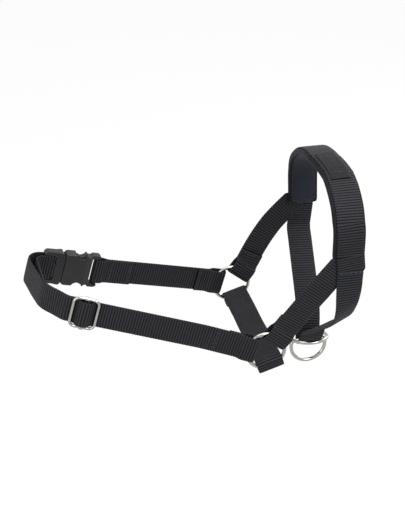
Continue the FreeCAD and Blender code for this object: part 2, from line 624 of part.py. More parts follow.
def buckle_plug():
    half = BUCKLE_WIDTH / 2
    thick = CAVITY_HEIGHT - 2 * SLIDING_FIT
    neck = CAVITY_WIDTH / 2 - SLIDING_FIT
    shoulder = MOUTH_AT + SLIDING_FIT
    bar_start = BUCKLE_LENGTH - PLUG_BAR_LENGTH
    slot_start = bar_start - PLUG_SLOT_LENGTH
    collar = slab(shoulder, BUCKLE_LENGTH, half, BUCKLE_THICK, BUCKLE_CORNER)
    collar = collar.common(side_taper(slot_start, shoulder + 1, BUCKLE_END_THICK, BUCKLE_THICK))
    opening = slab(slot_start, BUCKLE_LENGTH + 1, SLOT_WIDTH / 2, 2 * BUCKLE_THICK, 0)
    bar = rounded_bar(bar_start, BUCKLE_LENGTH, SLOT_WIDTH / 2 + 1, BAR_THICK)
    base = slab(BASE_START, shoulder + 1, neck, thick, 0)
    tongue = slab(CAVITY_END + 2, shoulder + 1, TONGUE_WIDTH / 2, thick, 0)
    tongue = tongue.makeFillet(TONGUE_WIDTH / 2 - 0.3, [
        e for e in tongue.Edges
        if e.BoundBox.XMax < CAVITY_END + 2.1 and abs(e.tangentAt(e.FirstParameter).y) > 0.9])
    body = collar.cut(opening).fuse([bar, base, tongue])
    for side in (1, -1):
        x, z = arm_pivot(side)
        radius = ARM_PIVOT_RADIUS + ARM_PIVOT_FIT
        body = body.cut(Part.makeCylinder(radius, thick + 2, V(x, -thick / 2 - 1, z), AXIS_Y))
    return body.removeSplitter()


# ---- output --------------------------------------------------------------------------------
def build():
    foam, lining, binding = pad_parts()
    frame = slider_frame()
    parts = {
        "nose_strap": closed_band(nose_track(), NOSE_PLANE, WEB_WIDTH, WEB_THICK),
        "pad_foam": foam,
        "pad_lining": lining,
        "pad_binding": binding,
        "label": label(),
        "chin_strap": chin_strap(),
        "slide_ring": slide_ring(),
        "lead_ring": lead_ring(),
        "neck_strap_left": neck_strap_left(),
        "neck_strap_right": neck_strap_right(),
        "slider_frame": frame,
        "slider_bar": slider_bar(frame),
        "buckle_housing": moved(buckle_housing()),
        "buckle_plug": moved(buckle_plug()),
    }
    for name, side in (("left", 1), ("right", -1)):
        centre = V(CHEEK_X, side * CHEEK_HALF_SPREAD, CHEEK_Z)
        parts["cheek_strap_" + name] = cheek_strap(side)
        parts["cheek_ring_" + name] = round_ring(centre, AXIS_Y)
    for name, side in (("upper", -1), ("lower", 1)):
        parts["latch_arm_" + name] = moved(latch_arm(side))
    return parts


os.makedirs("parts", exist_ok=True)
for node, shape in build().items():
    shape.exportStep("parts/" + node + ".step")
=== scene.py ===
"""Looks of the head halter: woven straps, padded nose band, nickel rings and a moulded buckle."""

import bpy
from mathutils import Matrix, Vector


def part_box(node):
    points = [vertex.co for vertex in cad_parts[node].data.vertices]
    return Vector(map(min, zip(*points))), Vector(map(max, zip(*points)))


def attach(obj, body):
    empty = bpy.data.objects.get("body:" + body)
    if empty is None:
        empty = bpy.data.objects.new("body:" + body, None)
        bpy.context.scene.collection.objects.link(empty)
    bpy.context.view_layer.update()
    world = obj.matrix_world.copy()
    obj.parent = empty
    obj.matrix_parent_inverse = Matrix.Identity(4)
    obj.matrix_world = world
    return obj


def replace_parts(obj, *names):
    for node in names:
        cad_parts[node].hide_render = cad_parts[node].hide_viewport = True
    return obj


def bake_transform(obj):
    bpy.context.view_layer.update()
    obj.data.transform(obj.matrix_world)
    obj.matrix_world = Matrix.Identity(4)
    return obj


bl_info = {
    "name": "Head halter looks",
    "version": (1, 0, 0),
    "blender": (4, 5, 0),
    "location": "View3D > Sidebar > Halter",
    "description": "Builds the straps, pad, rings and buckle of a head halter round its packed model",
    "category": "Object",
}
from math import acos, asin, atan2, ceil, cos, degrees, hypot, pi, radians, sin, sqrt, tan

import bmesh
import bpy
import numpy as np
from bpy.props import FloatProperty, FloatVectorProperty, PointerProperty
from mathutils import Vector

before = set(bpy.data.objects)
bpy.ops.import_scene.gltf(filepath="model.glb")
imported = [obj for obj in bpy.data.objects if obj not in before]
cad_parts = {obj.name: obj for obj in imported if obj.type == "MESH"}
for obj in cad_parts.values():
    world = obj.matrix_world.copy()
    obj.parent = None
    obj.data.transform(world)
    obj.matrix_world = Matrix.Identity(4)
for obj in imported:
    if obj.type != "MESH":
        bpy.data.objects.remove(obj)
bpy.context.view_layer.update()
MM = 0.001
AXES = np.eye(3)


# ---- what a user would change ----------------------------------------------------------------
class WebbingSettings(bpy.types.PropertyGroup):
    width: FloatProperty(
        name="Width", description="Width of every strap", default=0.020, min=0.005, unit="LENGTH")
    thick: FloatProperty(
        name="Thickness", description="Thickness of one ply", default=0.0014, min=0.0003,
        unit="LENGTH")
    rib_pitch: FloatProperty(
        name="Rib pitch", description="Distance between the cross ribs", default=0.002, min=0.0005,
        unit="LENGTH")
    rib_depth: FloatProperty(
        name="Rib depth", description="Depth of the grooves between ribs, both faces together",
        default=0.0005, min=0, unit="LENGTH")
    scallop: FloatProperty(
        name="Scallop", description="How far the ribs stand out at the edges", default=0.0003,
        min=0, unit="LENGTH")
    colour: FloatVectorProperty(
        name="Colour", description="Colour of the nylon", subtype="COLOR", size=3,
        default=(0.0082, 0.0085, 0.0120), min=0, max=1)


class PadSettings(bpy.types.PropertyGroup):
    width: FloatProperty(
        name="Width", description="Width over the binding", default=0.0245, min=0.010,
        unit="LENGTH")
    crown: FloatProperty(
        name="Crown", description="How far the lining swells between the bindings",
        default=0.001965, unit="LENGTH")
    lean: FloatProperty(
        name="Lean", description="How much farther forward the pad's ends move than the fold",
        default=0.010, unit="LENGTH")
    lining: FloatVectorProperty(
        name="Lining", description="Colour of the soft lining", subtype="COLOR", size=3,
        default=(0.0085, 0.010, 0.016), min=0, max=1)


class MetalSettings(bpy.types.PropertyGroup):
    colour: FloatVectorProperty(
        name="Nickel", description="Colour of the plating", subtype="COLOR", size=3,
        default=(0.40, 0.385, 0.36), min=0, max=1)
    roughness: FloatProperty(
        name="Roughness", description="Roughness of the plating", default=0.13, subtype="FACTOR",
        min=0, max=1)


class StageSettings(bpy.types.PropertyGroup):
    lens: FloatProperty(
        name="Lens", description="Focal length", default=78.4, min=10, unit="CAMERA")
    floor: FloatProperty(
        name="Floor", description="Height of the floor", default=-0.30, unit="LENGTH")
    brightness: FloatProperty(
        name="Brightness", description="Strength of the studio lamps", default=1.0, min=0)


# ---- straps ----------------------------------------------------------------------------------
def shift_angle(offset, radius=6.0):
    """How far each of a shift's two bends turns."""
    return acos(1 - abs(offset) / (2 * radius))


def shift_run(offset, radius=6.0):
    """How far a shift goes on in its own direction."""
    return 2 * radius * sin(shift_angle(offset, radius))


class Course:
    """A strap's middle line in a plane, in mm: straight runs and tangent bends, left positive."""

    def __init__(self, x, y, heading):
        self.x, self.y, self.heading = x, y, heading
        self.points = [(x, y, heading)]

    def go(self, length):
        n = max(1, ceil(length / 4))
        a = radians(self.heading)
        for k in range(1, n + 1):
            d = length * k / n
            self.points.append((self.x + d * cos(a), self.y + d * sin(a), self.heading))
        self.x, self.y = self.points[-1][:2]
        return self

    def turn(self, radius, angle):
        side = 1 if angle > 0 else -1
        first = radians(self.heading - side * 90)
        cx, cy = self.x - radius * cos(first), self.y - radius * sin(first)
        n = max(2, ceil(abs(angle) / 6))
        for k in range(1, n + 1):
            a = first + radians(angle) * k / n
            self.points.append((cx + radius * cos(a), cy + radius * sin(a),
                                self.heading + angle * k / n))
        self.x, self.y, self.heading = self.points[-1]
        return self

    def shift(self, offset, radius=6.0):
        """Go over to a parallel line by two equal bends."""
        angle = degrees(shift_angle(offset, radius))
        side = 1 if offset > 0 else -1
        return self.turn(radius, side * angle).turn(radius, -side * angle)

    def placed(self, origin, ex, ey):
        """Points in space, unit directions along them, and the plane's normal as width direction."""
        p = np.array(self.points)
        centre = np.array(origin) + p[:, :1] * ex + p[:, 1:2] * ey
        a = np.radians(p[:, 2:3])
        along = np.cos(a) * ex + np.sin(a) * ey
        return centre, along, np.tile(np.cross(ex, ey), (len(p), 1))


def unit(v):
    return v / np.linalg.norm(v, axis=-1, keepdims=True)


def run_of(points):
    """The distance along a line of points, from its first one."""
    return np.concatenate([[0], np.cumsum(np.linalg.norm(np.diff(points, axis=0), axis=1))])


def at_run(s, run, rows):
    """The rows' three columns at the runs s."""
    return np.stack([np.interp(s, run, rows[:, k]) for k in range(3)], -1)


def moving(points):
    """Which points differ from the one before."""
    return np.concatenate([[True], np.diff(run_of(points)) > 1e-6])


def resampled(line, step):
    """The line's centre, direction and width direction at even steps, with the run in mm."""
    keep = moving(line[0])
    centre, across = line[0][keep], line[2][keep]
    run = run_of(centre)
    s = np.linspace(0, run[-1], max(2, int(round(run[-1] / step))) + 1)
    centre, across = at_run(s, run, centre), at_run(s, run, across)
    along = unit(np.gradient(centre, axis=0))
    across = unit(across - along * np.sum(along * across, 1, keepdims=True))
    return centre, along, across, s


def linked(name, data):
    made = bpy.data.objects.new(name, data)
    bpy.context.scene.collection.objects.link(made)
    return made


def mesh_object(name, points, faces, material, body, smooth=True, run=None):
    mesh = bpy.data.meshes.new(name)
    mesh.from_pydata([tuple(p * MM) for p in points], [], faces)
    mesh.polygons.foreach_set("use_smooth", [smooth] * len(mesh.polygons))
    if run is not None:
        layer = mesh.attributes.new("run", "FLOAT_VECTOR", "POINT")
        layer.data.foreach_set("vector", np.asarray(run, float).ravel())
    mesh.validate()
    piece = linked(name, mesh)
    mesh.materials.append(material)
    bm = bmesh.new()
    bm.from_mesh(mesh)
    bmesh.ops.recalc_face_normals(bm, faces=bm.faces)
    bm.to_mesh(mesh)
    bm.free()
    if body:
        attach(piece, body)
    return piece


def loft(sections, closed=False):
    """Quads between equal rings of points, with flat ends unless the loft closes on itself."""
    n, m = sections.shape[:2]
    faces = []
    for i in range(n if closed else n - 1):
        j = (i + 1) % n
        for k in range(m):
            l = (k + 1) % m
            faces.append((i * m + k, i * m + l, j * m + l, j * m + k))
    if not closed:
        faces.append(tuple(range(m))[::-1])
        faces.append(tuple((n - 1) * m + k for k in range(m)))
    return sections.reshape(-1, 3), faces


# where a strap's points lie across it, in half widths, closer together at the edges
ACROSS = np.array([-1, -0.965, -0.88, -0.62, -0.31, 0, 0.31, 0.62, 0.88, 0.965, 1])
STEPS_PER_RIB = 6


def strap(name, line, body, closed=False, width=None, thick=None, ribs=1.0, material=None):
    """A woven strap: rounded edges, cross ribs on both faces and scalloped edges."""
    web = bpy.context.scene.halter_webbing
    width = width or web.width / MM
    thick = thick or web.thick / MM
    pitch = web.rib_pitch / MM
    centre, along, across, s = resampled(line, pitch / STEPS_PER_RIB)
    if closed:
        centre, along, across, s = centre[:-1], along[:-1], across[:-1], s[:-1]
    out = np.cross(along, across)
    groove = ribs * (1 - np.abs(np.sin(pi * s / pitch)) ** 0.7) / MM
    half_thick = thick / 2 - web.rib_depth / 2 * groove
    half_width = width / 2 - web.scallop * groove
    edge = np.clip(1 - np.abs(ACROSS) ** 9, 0, 1) ** 0.5
    lift = np.concatenate([0.3 + 0.7 * edge, -(0.3 + 0.7 * edge[::-1])])
    place = np.concatenate([ACROSS, ACROSS[::-1]])
    sections = (centre[:, None] + across[:, None] * (half_width[:, None] * place)[:, :, None]
                + out[:, None] * (half_thick[:, None] * lift)[:, :, None])
    points, faces = loft(sections, closed)
    run = np.stack([np.repeat(s, len(place)), np.tile(place * width / 2, len(s)),
                    np.tile(lift, len(s))], 1)
    return mesh_object(name, points, faces, material or woven(), body, run=run)


WIRE_SIDES = 18


def wire(name, centre, radius, body, closed=True, seam=None):
    """A round nickel wire along a line of points; seam is the point of its butt weld."""
    along = unit(np.roll(centre, -1, 0) - np.roll(centre, 1, 0)) if closed else unit(
        np.gradient(centre, axis=0))
    side = [unit(np.cross(along[0], (0.3, 0.5, 0.81)))]
    for t in along[1:]:
        side.append(unit(side[-1] - t * np.dot(side[-1], t)))
    side = np.array(side)
    up = np.cross(along, side)
    r = np.full(len(centre), radius)
    if seam is not None:
        # a low bead with a fine groove in its middle
        gap = np.linalg.norm(centre - centre[seam], axis=1)
        r += 0.05 * np.exp(-(gap / 0.8) ** 2) - 0.22 * np.exp(-(gap / 0.16) ** 2)
    angles = np.tile(np.linspace(0, 2 * pi, WIRE_SIDES, endpoint=False), (len(centre), 1))
    if closed:
        # the frame carried round a closed wire comes back turned; spread the turn evenly
        v = side[-1] - along[0] * np.dot(side[-1], along[0])
        turn = atan2(np.dot(v, up[0]), np.dot(v, side[0]))
        angles -= (turn * np.arange(len(centre)) / len(centre))[:, None]
    spokes = side[:, None] * np.cos(angles)[..., None] + up[:, None] * np.sin(angles)[..., None]
    points, faces = loft(centre[:, None] + r[:, None, None] * spokes, closed)
    return mesh_object(name, points, faces, nickel(), body)


# how far along a stitch, how thick and how high it is there, in radii: its ends dive into the cloth
STITCH = ((0.0, 0.35, -0.45), (0.2, 1.0, 0.25), (0.8, 1.0, 0.25), (1.0, 0.35, -0.45))
STITCH_SIDES = 6


def stitches(name, lines, body, length=2.3, gap=0.9, radius=0.2, lift=0.0,
             material=None):
    """Rows of machine stitches; each line is (points, outward directions), in mm."""
    points, faces = [], []
    turn = np.linspace(0, 2 * pi, STITCH_SIDES, endpoint=False)[:, None]
    for line, normal in lines:
        run = run_of(line)
        count = max(1, int(run[-1] / (length + gap)))
        pitch = run[-1] / count
        for first in np.arange(count) * pitch + gap / 2:
            a, b = at_run(first, run, line), at_run(first + pitch - gap, run, line)
            n = at_run(first, run, normal)
            spokes = radius * (np.cross(unit(b - a), n) * np.cos(turn) + n * np.sin(turn))
            tube = [a + (b - a) * f + n * (lift + h * radius) + r * spokes for f, r, h in STITCH]
            more, sides = loft(np.array(tube))
            faces += [tuple(len(points) + i for i in face) for face in sides]
            points += list(more)
    return mesh_object(name, points, faces, material or black_thread(), body)


def cross_rows(line, places, side, half=8.0):
    """Stitch lines straight across a strap at runs in mm; side picks the face."""
    centre, along, across, s = resampled(line, 0.5)
    rows = []
    for place in places:
        k = int(np.argmin(np.abs(s - place)))
        n = np.cross(along[k], across[k]) * side
        row = centre[k] + n * HALF_PLY + np.outer(np.linspace(-half, half, 12), across[k])
        rows.append((row, np.tile(n, (12, 1))))
    return rows


# ---- finishes --------------------------------------------------------------------------------
class Shading:
    """Short ways to add, set and join the nodes of a material or a world."""

    def __init__(self, tree):
        self.nodes, self.links = tree.nodes, tree.links

    def put(self, inputs, values):
        """Set inputs, by name or number, to numbers or colours, or link them to sockets."""
        for key, value in values.items():
            if isinstance(value, bpy.types.NodeSocket):
                self.links.new(value, inputs[key])
            else:
                inputs[key].default_value = value

    def add(self, kind, values):
        node = self.nodes.new("ShaderNode" + kind)
        self.put(node.inputs, values)
        return node

    def math(self, operation, *values):
        node = self.add("Math", dict(enumerate(values)))
        node.operation = operation
        return node.outputs[0]

    def weighted(self, *parts):
        """The sum of values, each times its weight."""
        total = 0.0
        for value, weight in parts:
            total = self.math("MULTIPLY_ADD", value, weight, total)
        return total

    def noise(self, scale, detail=2.0, roughness=0.5, vector=None):
        vector = vector or self.add("TexCoord", {}).outputs["Object"]
        return self.add("TexNoise", {"Scale": scale, "Detail": detail, "Roughness": roughness,
                                     "Vector": vector}).outputs["Fac"]

    def shades(self, fac, *stops):
        """A colour for each value of fac; a stop is (value, colour)."""
        ramp = self.add("ValToRGB", {"Fac": fac})
        while len(ramp.color_ramp.elements) < len(stops):
            ramp.color_ramp.elements.new(0.5)
        for element, (at, colour) in zip(ramp.color_ramp.elements, stops):
            element.position = at
            element.color = (*colour, 1)
        return ramp.outputs["Color"]

    def bump(self, height, strength, distance):
        return self.add("Bump", {"Height": height, "Strength": strength,
                                 "Distance": distance}).outputs["Normal"]

    def run(self):
        """The strap's own coordinates in mm, and how far along and across it they lie."""
        run = self.add("Attribute", {})
        run.attribute_name = "run"
        split = self.add("SeparateXYZ", {0: run.outputs["Vector"]})
        return run.outputs["Vector"], split.outputs["X"], split.outputs["Y"]

    def threads(self, pitch_along, pitch_across):
        """Fine crossing threads, with pitches in mm; 0 in the gaps, 1 on top."""
        along, across = self.run()[1:]
        # every other row is offset by half a thread
        row = self.math("SIGN", self.math("SINE", self.math("MULTIPLY", along, pi / pitch_along)))
        warp = self.math("SINE", self.weighted((across, 2 * pi / pitch_across), (row, pi / 2)))
        weft = self.math("COSINE", self.math("MULTIPLY", along, 2 * pi / pitch_along))
        both = self.weighted((warp, 0.65), (weft, 0.35))
        return self.math("MULTIPLY_ADD", both, 0.5, 0.5)

    def background_seen(self):
        """1 for the camera's rays, and for those that metal and glass send to the background."""
        ray = self.add("LightPath", {}).outputs
        seen = self.math("ADD", ray["Is Camera Ray"], ray["Is Glossy Ray"])
        return self.math("MINIMUM", self.math("ADD", seen, ray["Is Transmission Ray"]), 1.0)


def finish(name, build):
    """The named material, made once; build gives the inputs of its shader."""
    found = bpy.data.materials.get(name)
    if found:
        return found
    material = bpy.data.materials.new(name)
    material.use_nodes = True
    shading = Shading(material.node_tree)
    shading.put(shading.nodes["Principled BSDF"].inputs, build(shading))
    return material


def scaled(colour, k):
    return tuple(min(1.0, c * k) for c in colour)


def woven():
    web = bpy.context.scene.halter_webbing
    pitch = web.rib_pitch / MM

    def build(on):
        run, along = on.run()[:2]
        fuzz = on.noise(2.6, 3, 0.6, run)
        mix = on.weighted((on.threads(pitch / 2, 0.62), 0.55), (fuzz, 0.30), (on.noise(60), 0.22))
        rib = on.math("ABSOLUTE", on.math("SINE", on.math("MULTIPLY", along, pi / pitch)))
        rib = on.math("POWER", rib, 0.8)
        # painted shade in the gaps between the threads, where the thread mask is low; fuzz and noise
        # vary the tone at random
        colour = on.shades(mix, (0.18, scaled(web.colour, 0.5)), (0.55, scaled(web.colour, 1.0)),
                           (0.95, scaled(web.colour, 2.2)))
        # painted shade: the colour goes to near black in the grooves between the ribs, where the rib
        # mask is 0
        groove = on.add("Mix", {})
        groove.data_type = "RGBA"
        on.put(groove.inputs, {"Factor": rib, "A": (0.0012, 0.0012, 0.0016, 1), "B": colour})
        return {"Base Color": groove.outputs["Result"],
                "Roughness": on.math("MULTIPLY_ADD", fuzz, 0.25, 0.5),
                "Specular IOR Level": on.math("MULTIPLY", rib, 0.30),
                "Sheen Weight": on.math("MULTIPLY", rib, 0.05), "Sheen Roughness": 0.45,
                "Normal": on.bump(mix, 0.55, 0.00022)}

    return finish("webbing_nylon", build)


def yarn(name, dark, light, sheen):
    def build(on):
        speck = on.noise(3500)
        return {"Base Color": on.shades(speck, (0.3, dark), (0.7, light)), "Roughness": 0.55,
                "Sheen Weight": sheen, "Normal": on.bump(speck, 0.4, 0.0001)}

    return finish(name, build)


def black_thread():
    return yarn("sewing_thread", (0.005, 0.005, 0.008), (0.014, 0.015, 0.021), 0.1)


def blue_thread():
    return yarn("blue_thread", (0.010, 0.022, 0.048), (0.022, 0.040, 0.080), 0.0)


def ribbon(name, pitches, dark, light, roughness, specular, relief):
    """A narrow flat weave, darker in the gaps between its threads as painted shade."""
    def build(on):
        weave = on.threads(*pitches)
        return {"Base Color": on.shades(weave, (0.2, dark), (0.9, light)), "Roughness": roughness,
                "Specular IOR Level": specular, "Normal": on.bump(weave, *relief)}

    return finish(name, build)


def tape():
    return ribbon("binding_tape", (0.9, 0.5), (0.0015, 0.0018, 0.0028), (0.006, 0.0065, 0.010),
                  roughness=0.62, specular=0.15, relief=(0.5, 0.0002))


def woven_label():
    return ribbon("label_satin", (0.5, 0.32), (0.004, 0.004, 0.005), (0.011, 0.011, 0.014),
                  roughness=0.5, specular=0.12, relief=(0.35, 0.00012))


def knit():
    colour = bpy.context.scene.halter_pad.lining

    def build(on):
        coord = on.add("TexCoord", {}).outputs["Object"]
        cells = on.add("TexVoronoi", {"Scale": 1300, "Vector": coord}).outputs["Distance"]
        mix = on.weighted((cells, 0.35), (on.noise(420, 4, 0.65), 0.4), (on.noise(45), 0.35))
        return {"Base Color": on.shades(mix, (0.25, scaled(colour, 0.55)), (0.6, scaled(colour, 1.0)),
                                        (0.95, scaled(colour, 1.7))),
                "Roughness": 0.85, "Specular IOR Level": 0.2, "Sheen Weight": 0.12,
                "Sheen Roughness": 0.5, "Sheen Tint": (0.45, 0.5, 0.7, 1),
                "Normal": on.bump(mix, 0.5, 0.0003)}

    return finish("lining_knit", build)


def nickel():
    metal = bpy.context.scene.halter_metal

    def build(on):
        wear, scratch = on.noise(260, 5, 0.6), on.noise(1400, 3, 0.7)
        return {"Base Color": on.shades(wear, (0.3, scaled(metal.colour, 0.86)),
                                        (0.62, scaled(metal.colour, 1.0))),
                "Roughness": on.math("MULTIPLY_ADD", scratch, 0.14, metal.roughness - 0.06),
                "Metallic": 1.0, "Normal": on.bump(wear, 0.12, 0.0002)}

    return finish("nickel_plate", build)


def moulded():
    def build(on):
        grain, flow = on.noise(1800, 3, 0.6), on.noise(90)
        return {"Base Color": on.shades(flow, (0.3, (0.005, 0.005, 0.006)),
                                        (0.7, (0.009, 0.009, 0.011))),
                "Roughness": on.math("MULTIPLY_ADD", grain, 0.16, 0.36),
                "Specular IOR Level": 0.36, "Normal": on.bump(grain, 0.18, 0.00012)}

    return finish("buckle_acetal", build)


# ---- the halter's lines, in mm ---------------------------------------------------------------
def extent(node):
    """A CAD node's lowest and highest corners, to the tenth of a mm that its mesh is good for."""
    return [np.round(np.array(corner) / MM, 1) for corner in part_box(node)]


HALF_WEB, ARCH_HALF, CREST = extent("nose_strap")[1]
PAD_DROP = -extent("pad_binding")[0][2]      # the pad's ends below the origin
RING_LOW, RING_HIGH = extent("cheek_ring_left")
WIRE = round(RING_HIGH[1] - RING_LOW[1], 1)
RING_X, SPREAD, RING_Z = np.round((RING_LOW + RING_HIGH) / 2, 1)     # SPREAD: to the middle plane
RING_CENTRE = np.array((RING_X, 0, RING_Z))
HALF_PLY = 0.7                  # a ply's middle to its face
PLY = HALF_PLY + 0.05           # middle of a sewn double end to a ply's middle
DOUBLE = 2 * PLY
FOLD_INSIDE = 7.6               # a ring's centre to the nearest ply's middle in a fold
RING_PLAY = 0.3                 # past the outside of a ring
RING_RADIUS = hypot(8.6, HALF_WEB) + WIRE / 2
LOOP_RADIUS = WIRE / 2 + 0.9 + HALF_PLY
LOOP_CENTRE = FOLD_INSIDE + LOOP_RADIUS
LOOP_CLEAR = RING_RADIUS + WIRE / 2 + RING_PLAY
LOOP_MIDDLE = (FOLD_INSIDE + LOOP_CLEAR + HALF_PLY) / 2
SEWN = 8.0                      # doubled end that shows beyond a ring
NECK_RISE = radians(15.5)
NECK_ALONG = np.array((-cos(NECK_RISE), 0, sin(NECK_RISE)))
NECK_REACH = 173.0              # back from the rings' line to the outside of the nape
RIGHT_YAW, LEFT_YAW = 10, -5    # degrees that the neck straps turn from straight back
ARCH_RISE = 45.0                # from the level where the arch starts to its crest
SIDE_ANGLE = 50.0
ARCH_SPREAD = (ARCH_HALF - ARCH_RISE) / (cos(radians(SIDE_ANGLE)) + sin(radians(SIDE_ANGLE)) - 1)
SIDE_RADIUS = ARCH_HALF - ARCH_SPREAD * cos(radians(SIDE_ANGLE))
CROWN_RADIUS = SIDE_RADIUS + ARCH_SPREAD
CROWN_Z = CREST - CROWN_RADIUS
ARCH_Z = CREST - ARCH_RISE
LEAD_WIRE = 1.5                 # radius
LEAD_LOW, LEAD_HIGH = extent("lead_ring")
LEAD_BAR = np.array((0, (LEAD_LOW + LEAD_HIGH)[1] / 2, LEAD_HIGH[2] - LEAD_WIRE))
LEAD_SET = np.array((-4.0, 0, 0))            # the fold lies back from the crest
LEG_LOW = 20                    # degrees that a leg's last run rises
FOLD_RADIUS, FOLD_RUN = 2.5, 9.0
LEFT_LEG, RIGHT_LEG = (47, 10, 60), (53, 30, 26)     # angle, upper and lower bend's radius


def ring_end(side, yaw, sewn=SEWN):
    """From the sewn end to a ring, round its wire and back; the ring's centre is the origin."""
    shift = LOOP_RADIUS - PLY
    length = LOOP_CLEAR + shift_run(shift) + sewn - LOOP_MIDDLE
    a = radians(yaw)
    course = Course(LOOP_MIDDLE + length * cos(a) - side * PLY * sin(a),
                    length * sin(a) + side * PLY * cos(a), 180 + yaw)
    course.go(sewn).shift(-side * shift).go(LOOP_CLEAR - LOOP_CENTRE)
    course.turn(LOOP_RADIUS, side * 180).go(LOOP_CLEAR - LOOP_CENTRE).shift(side * shift)
    return course


def ring_tacks(line, side):
    """Bar tacks on a strap's sewn end, and on its other face a little farther from the ring."""
    round_ring = 2 * (LOOP_CLEAR - LOOP_CENTRE) + pi * LOOP_RADIUS
    beyond = SEWN + 48 * shift_angle(LOOP_RADIUS - PLY) + round_ring
    places = (1.5, 2.7, SEWN - 1.0)
    return cross_rows(line, places + tuple(beyond + p for p in places), side)


def lean(points):
    """The nose band leans: its fold lies back, its pads' ends stand forward."""
    amount = bpy.context.scene.halter_pad.lean / MM
    z = points[:, 2]
    forward = np.interp(z, (LEAD_BAR[2], -120, -90, -62, -30, CREST), (0, 0.4, 0.75, 1, 0.85, 0.5))
    # the right side stands forward by a few mm more or less
    near = np.interp(z, (-140, -105, -80, -50, -25, -5, CREST), (0, 2.5, 1.6, -0.6, 0.4, 3.0, 3.4))
    near *= np.clip(-points[:, 1] / 24, 0, 1)
    return points + np.outer(amount * forward + near + LEAD_SET[0], AXES[0])


def arch_over(course):
    """Three tangent arcs over the nose, down the middle of the webbing."""
    course.turn(SIDE_RADIUS - HALF_PLY, -SIDE_ANGLE)
    course.turn(CROWN_RADIUS - HALF_PLY, 2 * SIDE_ANGLE - 180)
    return course.turn(SIDE_RADIUS - HALF_PLY, -SIDE_ANGLE)


def leg(angle, top_radius, low_radius, side):
    """Length of the middle run and the height at which one leg leaves the vertical."""
    low, high = radians(LEG_LOW), radians(angle)
    reach = ARCH_HALF - HALF_PLY - top_radius * (1 - cos(high)) - side * LEAD_BAR[1]
    reach -= FOLD_RADIUS * cos(low) + FOLD_RUN * sin(low) + low_radius * (cos(low) - cos(high))
    middle = reach / sin(high)
    rise = FOLD_RUN * cos(low) + low_radius * (sin(high) - sin(low)) + middle * cos(high)
    return middle, LEAD_BAR[2] - FOLD_RADIUS * sin(low) + rise + top_radius * sin(high)


def nose_line():
    (left, left_top, left_low), (right, right_top, right_low) = LEFT_LEG, RIGHT_LEG
    left_run, left_z = leg(*LEFT_LEG, 1)
    right_run, right_z = leg(*RIGHT_LEG, -1)
    course = Course(ARCH_HALF - HALF_PLY, left_z, -90).turn(left_top, -left).go(left_run)
    course.turn(left_low, left - LEG_LOW).go(FOLD_RUN).turn(FOLD_RADIUS, 2 * LEG_LOW - 180)
    course.go(FOLD_RUN).turn(right_low, right - LEG_LOW).go(right_run).turn(right_top, -right)
    arch_over(course.go(ARCH_Z - right_z)).go(ARCH_Z - left_z)
    centre, along, across = course.placed((0, 0, 0), AXES[1], AXES[2])
    # the right leg turns a little about its own run, its rear edge standing outwards
    z, y = centre[:, 2], centre[:, 1]
    near = np.where(y < LEAD_BAR[1], np.clip((-72 - z) / 30, 0, 1) * np.clip((z + 148) / 22, 0, 1), 0)
    turn = np.radians(22) * near * near * (3 - 2 * near)
    side = np.cross(along, across)
    across = across * np.cos(turn)[:, None] + side * np.sin(turn)[:, None]
    return lean(centre), along, across


# ---- pieces ----------------------------------------------------------------------------------
class HALTER_OT_nose_strap(bpy.types.Operator):
    """Weave the loop that goes over the nose and down to the lead ring"""
    bl_idname = "halter.nose_strap"
    bl_label = "Nose strap"

    def execute(self, context):
        line = nose_line()
        piece = strap("nose_webbing", line, "nose_band", closed=True)
        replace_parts(piece, "nose_strap")
        centre, s = [resampled(line, 0.5)[k] for k in (0, 3)]
        # one row a little below each end of the pad
        level = np.abs(centre[:, 2] + PAD_DROP + 3)
        places = [s[np.argmin(np.where(side * centre[:, 1] > 0, level, np.inf))] for side in (1, -1)]
        rows = cross_rows(line, places, -1, half=9.2)
        stitches("nose_stitches", rows, "nose_band", length=2.6, gap=0.7, radius=0.26,
                 material=blue_thread())
        return {"FINISHED"}


PAD_INSET = 3.8                 # webbing's outer face to the pad's middle surface
CROWN_RUN = (CROWN_RADIUS - PAD_INSET) * radians(90 - SIDE_ANGLE)
SIDE_RUN = (SIDE_RADIUS - PAD_INSET) * radians(SIDE_ANGLE)
PAD_HALF = CROWN_RUN + SIDE_RUN + ARCH_Z + PAD_DROP
NEAR_EXTRA = 4.5                # the right end of the pad reaches this much lower
NEAR_FROM = 30                  # along the pad from its crest
BINDING_INSET = 0.35


def arch_point(s, x, r):
    """A point of the pad: s along it from the crest, x across it, r out of its middle surface."""
    s = s - NEAR_EXTRA * np.clip((-s - NEAR_FROM) / (PAD_HALF - NEAR_FROM), 0, 1)
    run = np.abs(s)
    crown, bend = CROWN_RADIUS - PAD_INSET, SIDE_RADIUS - PAD_INSET
    a = np.minimum(run, CROWN_RUN) / crown
    b = np.clip(run - CROWN_RUN, 0, SIDE_RUN) / bend
    past = np.maximum(run - CROWN_RUN - SIDE_RUN, 0)
    joint = radians(90 - SIDE_ANGLE)
    on_crown = run < CROWN_RUN
    y = np.where(on_crown, (crown + r) * np.sin(a),
                 ARCH_SPREAD * sin(joint) + (bend + r) * np.sin(joint + b))
    z = np.where(on_crown, (crown + r) * np.cos(a),
                 ARCH_SPREAD * cos(joint) + (bend + r) * np.cos(joint + b)) - past
    points = np.stack([x + 0 * y, y * np.sign(s), z + CROWN_Z], -1)
    return lean(points.reshape(-1, 3)).reshape(points.shape)


